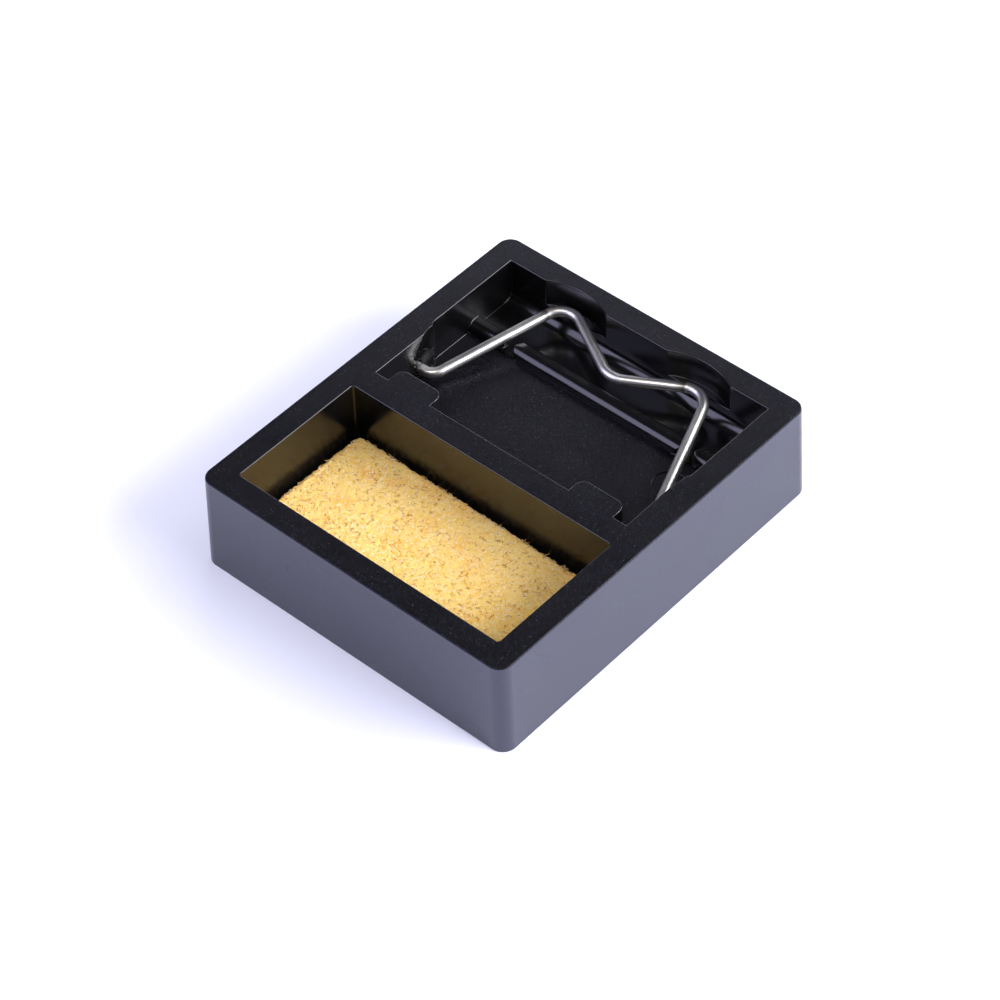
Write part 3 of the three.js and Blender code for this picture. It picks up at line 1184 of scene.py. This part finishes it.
@dataclass(frozen=True)
class Softbox:
    """A rectangular soft light, aimed at the stand and placed by its azimuth and elevation in degrees."""

    name: str
    azimuth: float
    elevation: float
    distance: float
    width: float
    height: float
    brightness: float
    colour: str

    def build(self) -> bpy.types.Object:
        """Put the light up.

        Returns:
            The light's object.
        """
        lamp = bpy.data.lights.new(self.name, "AREA")
        lamp.shape = "RECTANGLE"
        lamp.size = self.width
        lamp.size_y = self.height
        lamp.energy = self.brightness * math.pi * self.width * self.height
        lamp.color = linear(self.colour)[:3]
        made = bpy.data.objects.new(self.name, lamp)
        bpy.context.scene.collection.objects.link(made)
        way = outward(self.azimuth, self.elevation)
        made.location = way * self.distance
        made.rotation_euler = (-way).to_track_quat("-Z", "Y").to_euler()
        made.visible_camera = False
        return made


def outward(azimuth: float, elevation: float) -> Vector:
    """Return the unit vector from the stand towards an azimuth and elevation in degrees."""
    a, e = math.radians(azimuth), math.radians(elevation)
    return Vector((math.sin(a) * math.cos(e), -math.cos(a) * math.cos(e), math.sin(e)))


@dataclass
class Studio:
    """A lit white table, soft boxes low round it and a dim room above, with the camera."""

    camera_place: Vector = field(default_factory=lambda: Vector((0.32750, -0.34991, 0.50801)))
    azimuth: float = 43.2777
    elevation: float = 46.3077
    roll: float = -2.4259
    lens: float = 128.886
    sensor: float = 36.0
    nearest: float = 0.05
    table_size: float = 6.0
    table_gap: float = 0.05 * MM
    table_white: str = "#e4e6f2"
    table_glow: float = 0.1
    glow_colour: str = "#eceef8"
    horizon: str = "#e9eaf2"
    low_wall: str = "#b9bbc6"
    ceiling: str = "#4c4d55"
    boxes: tuple[Softbox, ...] = (
        Softbox("front_left_box", -38, 31, 0.9, 0.6, 0.85, 3.8, "#d6d4fb"),
        Softbox("right_box", 112, 32, 0.9, 0.72, 0.52, 14.5, "#f6f6ff"),
        Softbox("left_rear_box", 214, 25, 0.42, 0.3, 0.13, 4.2, "#f6f6ff"),
        Softbox("right_rear_box", 166, 38, 0.9, 0.36, 0.34, 7.0, "#fbfaff"),
        Softbox("high_front_box", 12, 61, 0.9, 0.42, 0.4, 5.0, "#fffaf4"),
    )

    def build(self) -> None:
        """Set up the table, the room, the lights and the camera."""
        self.table()
        self.room()
        for box in self.boxes:
            box.build()
        self.camera()

    def table(self) -> None:
        """Lay the lit table that the stand rests on."""
        bm = bmesh.new()
        bmesh.ops.create_grid(bm, x_segments=1, y_segments=1, size=self.table_size / 2)
        bmesh.ops.translate(bm, vec=(0.0, 0.0, -self.table_gap), verts=bm.verts)
        material, _, shader, _ = new_surface("lit_acrylic_table")
        shader.inputs["Base Color"].default_value = linear(self.table_white)
        shader.inputs["Roughness"].default_value = 0.6
        shader.inputs["Specular IOR Level"].default_value = 0.2
        shader.inputs["Emission Color"].default_value = linear(self.glow_colour)
        shader.inputs["Emission Strength"].default_value = self.table_glow
        object_from("table", bm, [material])

    def room(self) -> None:
        """Fill the room: pale near the horizon, dim overhead."""
        world = bpy.data.worlds.new("room")
        world.use_nodes = True
        bpy.context.scene.world = world
        tree = world.node_tree
        way = add_node(tree, "ShaderNodeTexCoord").outputs["Generated"]
        height = add_node(tree, "ShaderNodeSeparateXYZ", {"Vector": way}).outputs["Z"]
        fade = ramp_stops(
            add_node(tree, "ShaderNodeValToRGB", {"Fac": height}),
            (0.0, linear(self.horizon)),
            (0.2, linear(self.low_wall)),
            (0.42, linear(self.ceiling)),
        )
        tree.links.new(fade.outputs["Color"], tree.nodes["Background"].inputs["Color"])
        tree.nodes["Background"].inputs["Strength"].default_value = 1.0

    def camera(self) -> None:
        """Set the camera at the viewing angle."""
        lens = bpy.data.cameras.new("camera")
        lens.sensor_width = self.sensor
        lens.lens = self.lens
        lens.clip_start = self.nearest
        made = bpy.data.objects.new("camera", lens)
        bpy.context.scene.collection.objects.link(made)
        back = outward(self.azimuth, self.elevation)
        right = Vector((math.cos(math.radians(self.azimuth)), math.sin(math.radians(self.azimuth)), 0.0))
        upright = Matrix((right, back.cross(right), back)).transposed()
        made.rotation_euler = (upright @ Matrix.Rotation(math.radians(self.roll), 3, "Z")).to_euler()
        made.location = self.camera_place
        bpy.context.scene.camera = made


# ---- Main -------------------------------------------------------------------------------------------------


def main() -> None:
    """Build the stand and its studio."""
    logging.basicConfig(level=logging.INFO, format="%(name)s: %(message)s")
    bpy.context.scene.view_settings.view_transform = "Standard"
    Studio().build()
    pieces = [BaseMoulding().build(), WireBracket().build(), *CleaningSponge().build()]
    for piece in pieces:
        log.info("%s: %d faces", piece.name, len(piece.data.polygons))


if __name__ == "__main__":
    main()
